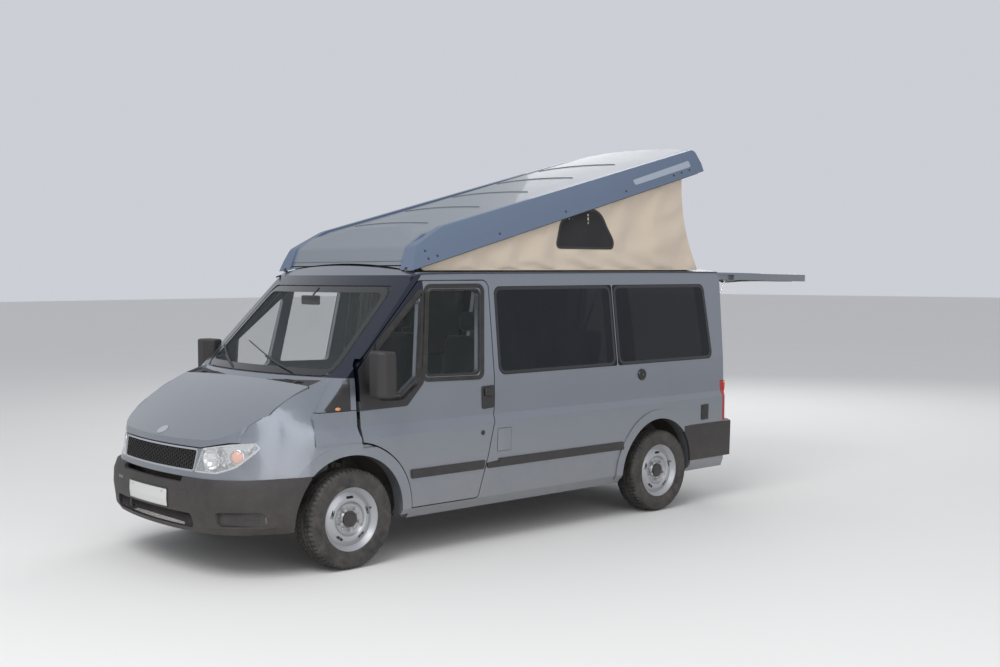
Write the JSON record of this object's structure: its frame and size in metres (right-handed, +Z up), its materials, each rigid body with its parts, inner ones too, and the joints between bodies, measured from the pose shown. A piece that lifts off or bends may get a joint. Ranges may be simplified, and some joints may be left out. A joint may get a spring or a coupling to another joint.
{
  "type": "pop-top camper van",
  "caption": "Short-wheelbase camper van with a front-hinged pop-up sleeping roof raised over its cloth tent, and its tailgate open",
  "frame": {"origin": "bottom centre of the whole van's box, on the ground", "axes": "+X rearward, +Y to the van's own right, +Z up"},
  "size_m": [6.086, 2.3792, 2.921],
  "materials": {
    "body_paint": "metallic",
    "roof_shell": "metallic",
    "dark_plastic": "textured",
    "bright_trim": "satin",
    "lamp_bowl": "metallised",
    "clear_lens": "clear",
    "red_lens": "clear",
    "window_glass": "tinted",
    "tyre": "matt",
    "wheel_steel": "silver",
    "chassis_steel": "black",
    "cast_parts": "rough",
    "core_metal": "black",
    "pipe_steel": "dull",
    "spare": "matt",
    "strut_black": "black",
    "strut_chrome": "polished",
    "cabin_plastic": "grained",
    "wheel_plastic": "grained",
    "seat_cloth": "woven",
    "cabinet_board": "laminate",
    "tent_cloth": "canvas"
  },
  "bodies": {
    "van_body": {"body_side_left": "body_paint", "body_side_right": "body_paint", "cab_frame": "body_paint", "chassis_frame": "chassis_steel", "dashboard": "cabin_plastic", "engine": "cast_parts", "exhaust": "pipe_steel", "floor_pan": "chassis_steel", "front_bumper": "dark_plastic", "front_panel": "body_paint", "front_seats": "seat_cloth", "front_subframe": "chassis_steel", "front_wings": "body_paint", "fuel_tank": "chassis_steel", "grille_frame": "bright_trim", "grille_mesh": "dark_plastic", "headlamp_bowls": "lamp_bowl", "headlamp_lenses": "clear_lens", "hinge_posts": "chassis_steel", "kitchen_unit": "cabinet_board", "radiator": "core_metal", "rear_axle": "chassis_steel", "rear_bench": "seat_cloth", "rear_bumper": "dark_plastic", "rear_panel": "body_paint", "roof_panel": "body_paint", "roof_tent": "tent_cloth", "scuttle_panel": "dark_plastic", "side_windows": "window_glass", "sliding_door": "body_paint", "spare_wheel": "spare", "tail_lamps": "red_lens", "wheel_houses": "chassis_steel", "windscreen": "window_glass"},
    "front_door_left": {"front_door_left": "body_paint", "door_windows_left": "window_glass", "mirror_left": "dark_plastic"},
    "front_door_right": {"front_door_right": "body_paint", "door_windows_right": "window_glass", "mirror_right": "dark_plastic"},
    "bonnet": {"bonnet": "body_paint"},
    "pop_roof": {"pop_roof": "roof_shell"},
    "tailgate": {"tailgate": "body_paint", "tailgate_window": "window_glass"},
    "strut_cylinders": {"strut_cylinders": "strut_black"},
    "strut_rods": {"strut_rods": "strut_chrome"},
    "knuckle_left": {"knuckle_left": "chassis_steel"},
    "knuckle_right": {"knuckle_right": "chassis_steel"},
    "steering_wheel": {"steering_wheel": "wheel_plastic"},
    "wheel_front_left": {"tyre_front_left": "tyre", "rim_front_left": "wheel_steel"},
    "wheel_front_right": {"tyre_front_right": "tyre", "rim_front_right": "wheel_steel"},
    "wheel_rear_left": {"tyre_rear_left": "tyre", "rim_rear_left": "wheel_steel"},
    "wheel_rear_right": {"tyre_rear_right": "tyre", "rim_rear_right": "wheel_steel"}
  },
  "joints": [
    {"name": "door_left_swing", "type": "hinge", "parent": "van_body", "child": "front_door_left", "pos_m": [-2.00496, -0.93, 0.9], "axis": [0, 0, -1], "range_deg": [0, 65]},
    {"name": "door_right_swing", "type": "hinge", "parent": "van_body", "child": "front_door_right", "pos_m": [-2.00496, 0.93, 0.9], "axis": [0, 0, 1], "range_deg": [0, 65]},
    {"name": "bonnet_lift", "type": "hinge", "parent": "van_body", "child": "bonnet", "pos_m": [-2.31596, 0, 1.16], "axis": [0, 1, 0], "range_deg": [0, 50]},
    {"name": "roof_close", "type": "hinge", "parent": "van_body", "child": "pop_roof", "pos_m": [-1.50996, 0, 1.9], "axis": [0, 1, 0], "range_deg": [0, 15], "deforming": ["roof_tent"]},
    {"name": "tailgate_close", "type": "hinge", "parent": "van_body", "child": "tailgate", "pos_m": [1.72804, 0, 1.868], "axis": [0, 1, 0], "range_deg": [0, 89]},
    {"name": "strut_swing", "type": "hinge", "parent": "van_body", "child": "strut_cylinders", "pos_m": [1.65804, 0, 1.29], "axis": [0, -1, 0], "range_deg": [0, 27.3]},
    {"name": "strut_slide", "type": "slide", "parent": "strut_cylinders", "child": "strut_rods", "axis": [-0.4562, 0, -0.8899], "range_m": [0, 0.2145]},
    {"name": "steer_left", "type": "hinge", "parent": "van_body", "child": "knuckle_left", "pos_m": [-2.10996, -0.735, 0.318], "axis": [0, 0, 1], "range_deg": [-35, 35]},
    {"name": "steer_right", "type": "hinge", "parent": "van_body", "child": "knuckle_right", "pos_m": [-2.10996, 0.735, 0.318], "axis": [0, 0, 1], "range_deg": [-35, 35]},
    {"name": "steering_wheel_turn", "type": "hinge", "parent": "van_body", "child": "steering_wheel", "pos_m": [-1.66996, -0.43, 1.13], "axis": [0.6428, 0, 0.766], "range_deg": [-525, 525]},
    {"name": "wheel_front_left_spin", "type": "hinge", "parent": "knuckle_left", "child": "wheel_front_left", "pos_m": [-2.10996, -0.868, 0.318], "axis": [0, 1, 0], "continuous": true},
    {"name": "wheel_front_right_spin", "type": "hinge", "parent": "knuckle_right", "child": "wheel_front_right", "pos_m": [-2.10996, 0.868, 0.318], "axis": [0, 1, 0], "continuous": true},
    {"name": "wheel_rear_left_spin", "type": "hinge", "parent": "van_body", "child": "wheel_rear_left", "pos_m": [0.82304, -0.868, 0.318], "axis": [0, 1, 0], "continuous": true},
    {"name": "wheel_rear_right_spin", "type": "hinge", "parent": "van_body", "child": "wheel_rear_right", "pos_m": [0.82304, 0.868, 0.318], "axis": [0, 1, 0], "continuous": true}
  ],
  "couplings": [
    {"joint": "steer_right", "follows": "steer_left", "ratio": 1},
    {"joint": "steering_wheel_turn", "follows": "steer_left", "ratio": 15},
    {"joint": "strut_swing", "follows": "tailgate_close", "ratio": 0.30562},
    {"joint": "strut_slide", "follows": "tailgate_close", "m_per_rad": 0.13777}
  ]
}
